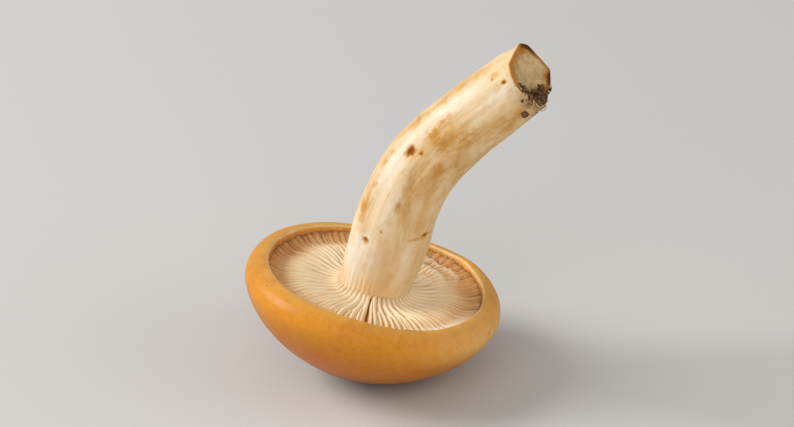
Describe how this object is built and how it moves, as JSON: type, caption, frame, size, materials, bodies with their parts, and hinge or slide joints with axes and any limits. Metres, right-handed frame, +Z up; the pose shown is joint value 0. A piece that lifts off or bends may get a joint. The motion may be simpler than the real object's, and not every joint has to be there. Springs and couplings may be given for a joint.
{
  "type": "nameko mushroom",
  "caption": "Fresh whole mushroom lying upside down on its domed amber cap, with open gills, a bent cream stem and a sliced foot with a little soil.",
  "frame": {"origin": "centre of the flat spot on the crown of the cap, where the mushroom rests on the floor", "axes": "+Z up from the floor, -Y towards the picture's camera; the cap's axis leans 11.3 degrees from +Z towards +X, and the stem bends further towards +X"},
  "size_m": [0.0474, 0.0402, 0.0555],
  "materials": {
    "cap_skin": "smooth, slightly sticky amber skin with a soft gloss",
    "gill_flesh": "matt cream gill flesh",
    "stem_flesh": "smooth fibrous cream flesh",
    "dark_soil": "dry crumbly growing medium"
  },
  "bodies": {
    "root": {"cap": "cap_skin", "gills": "gill_flesh", "stem": "stem_flesh", "soil": "dark_soil"}
  },
  "joints": []
}
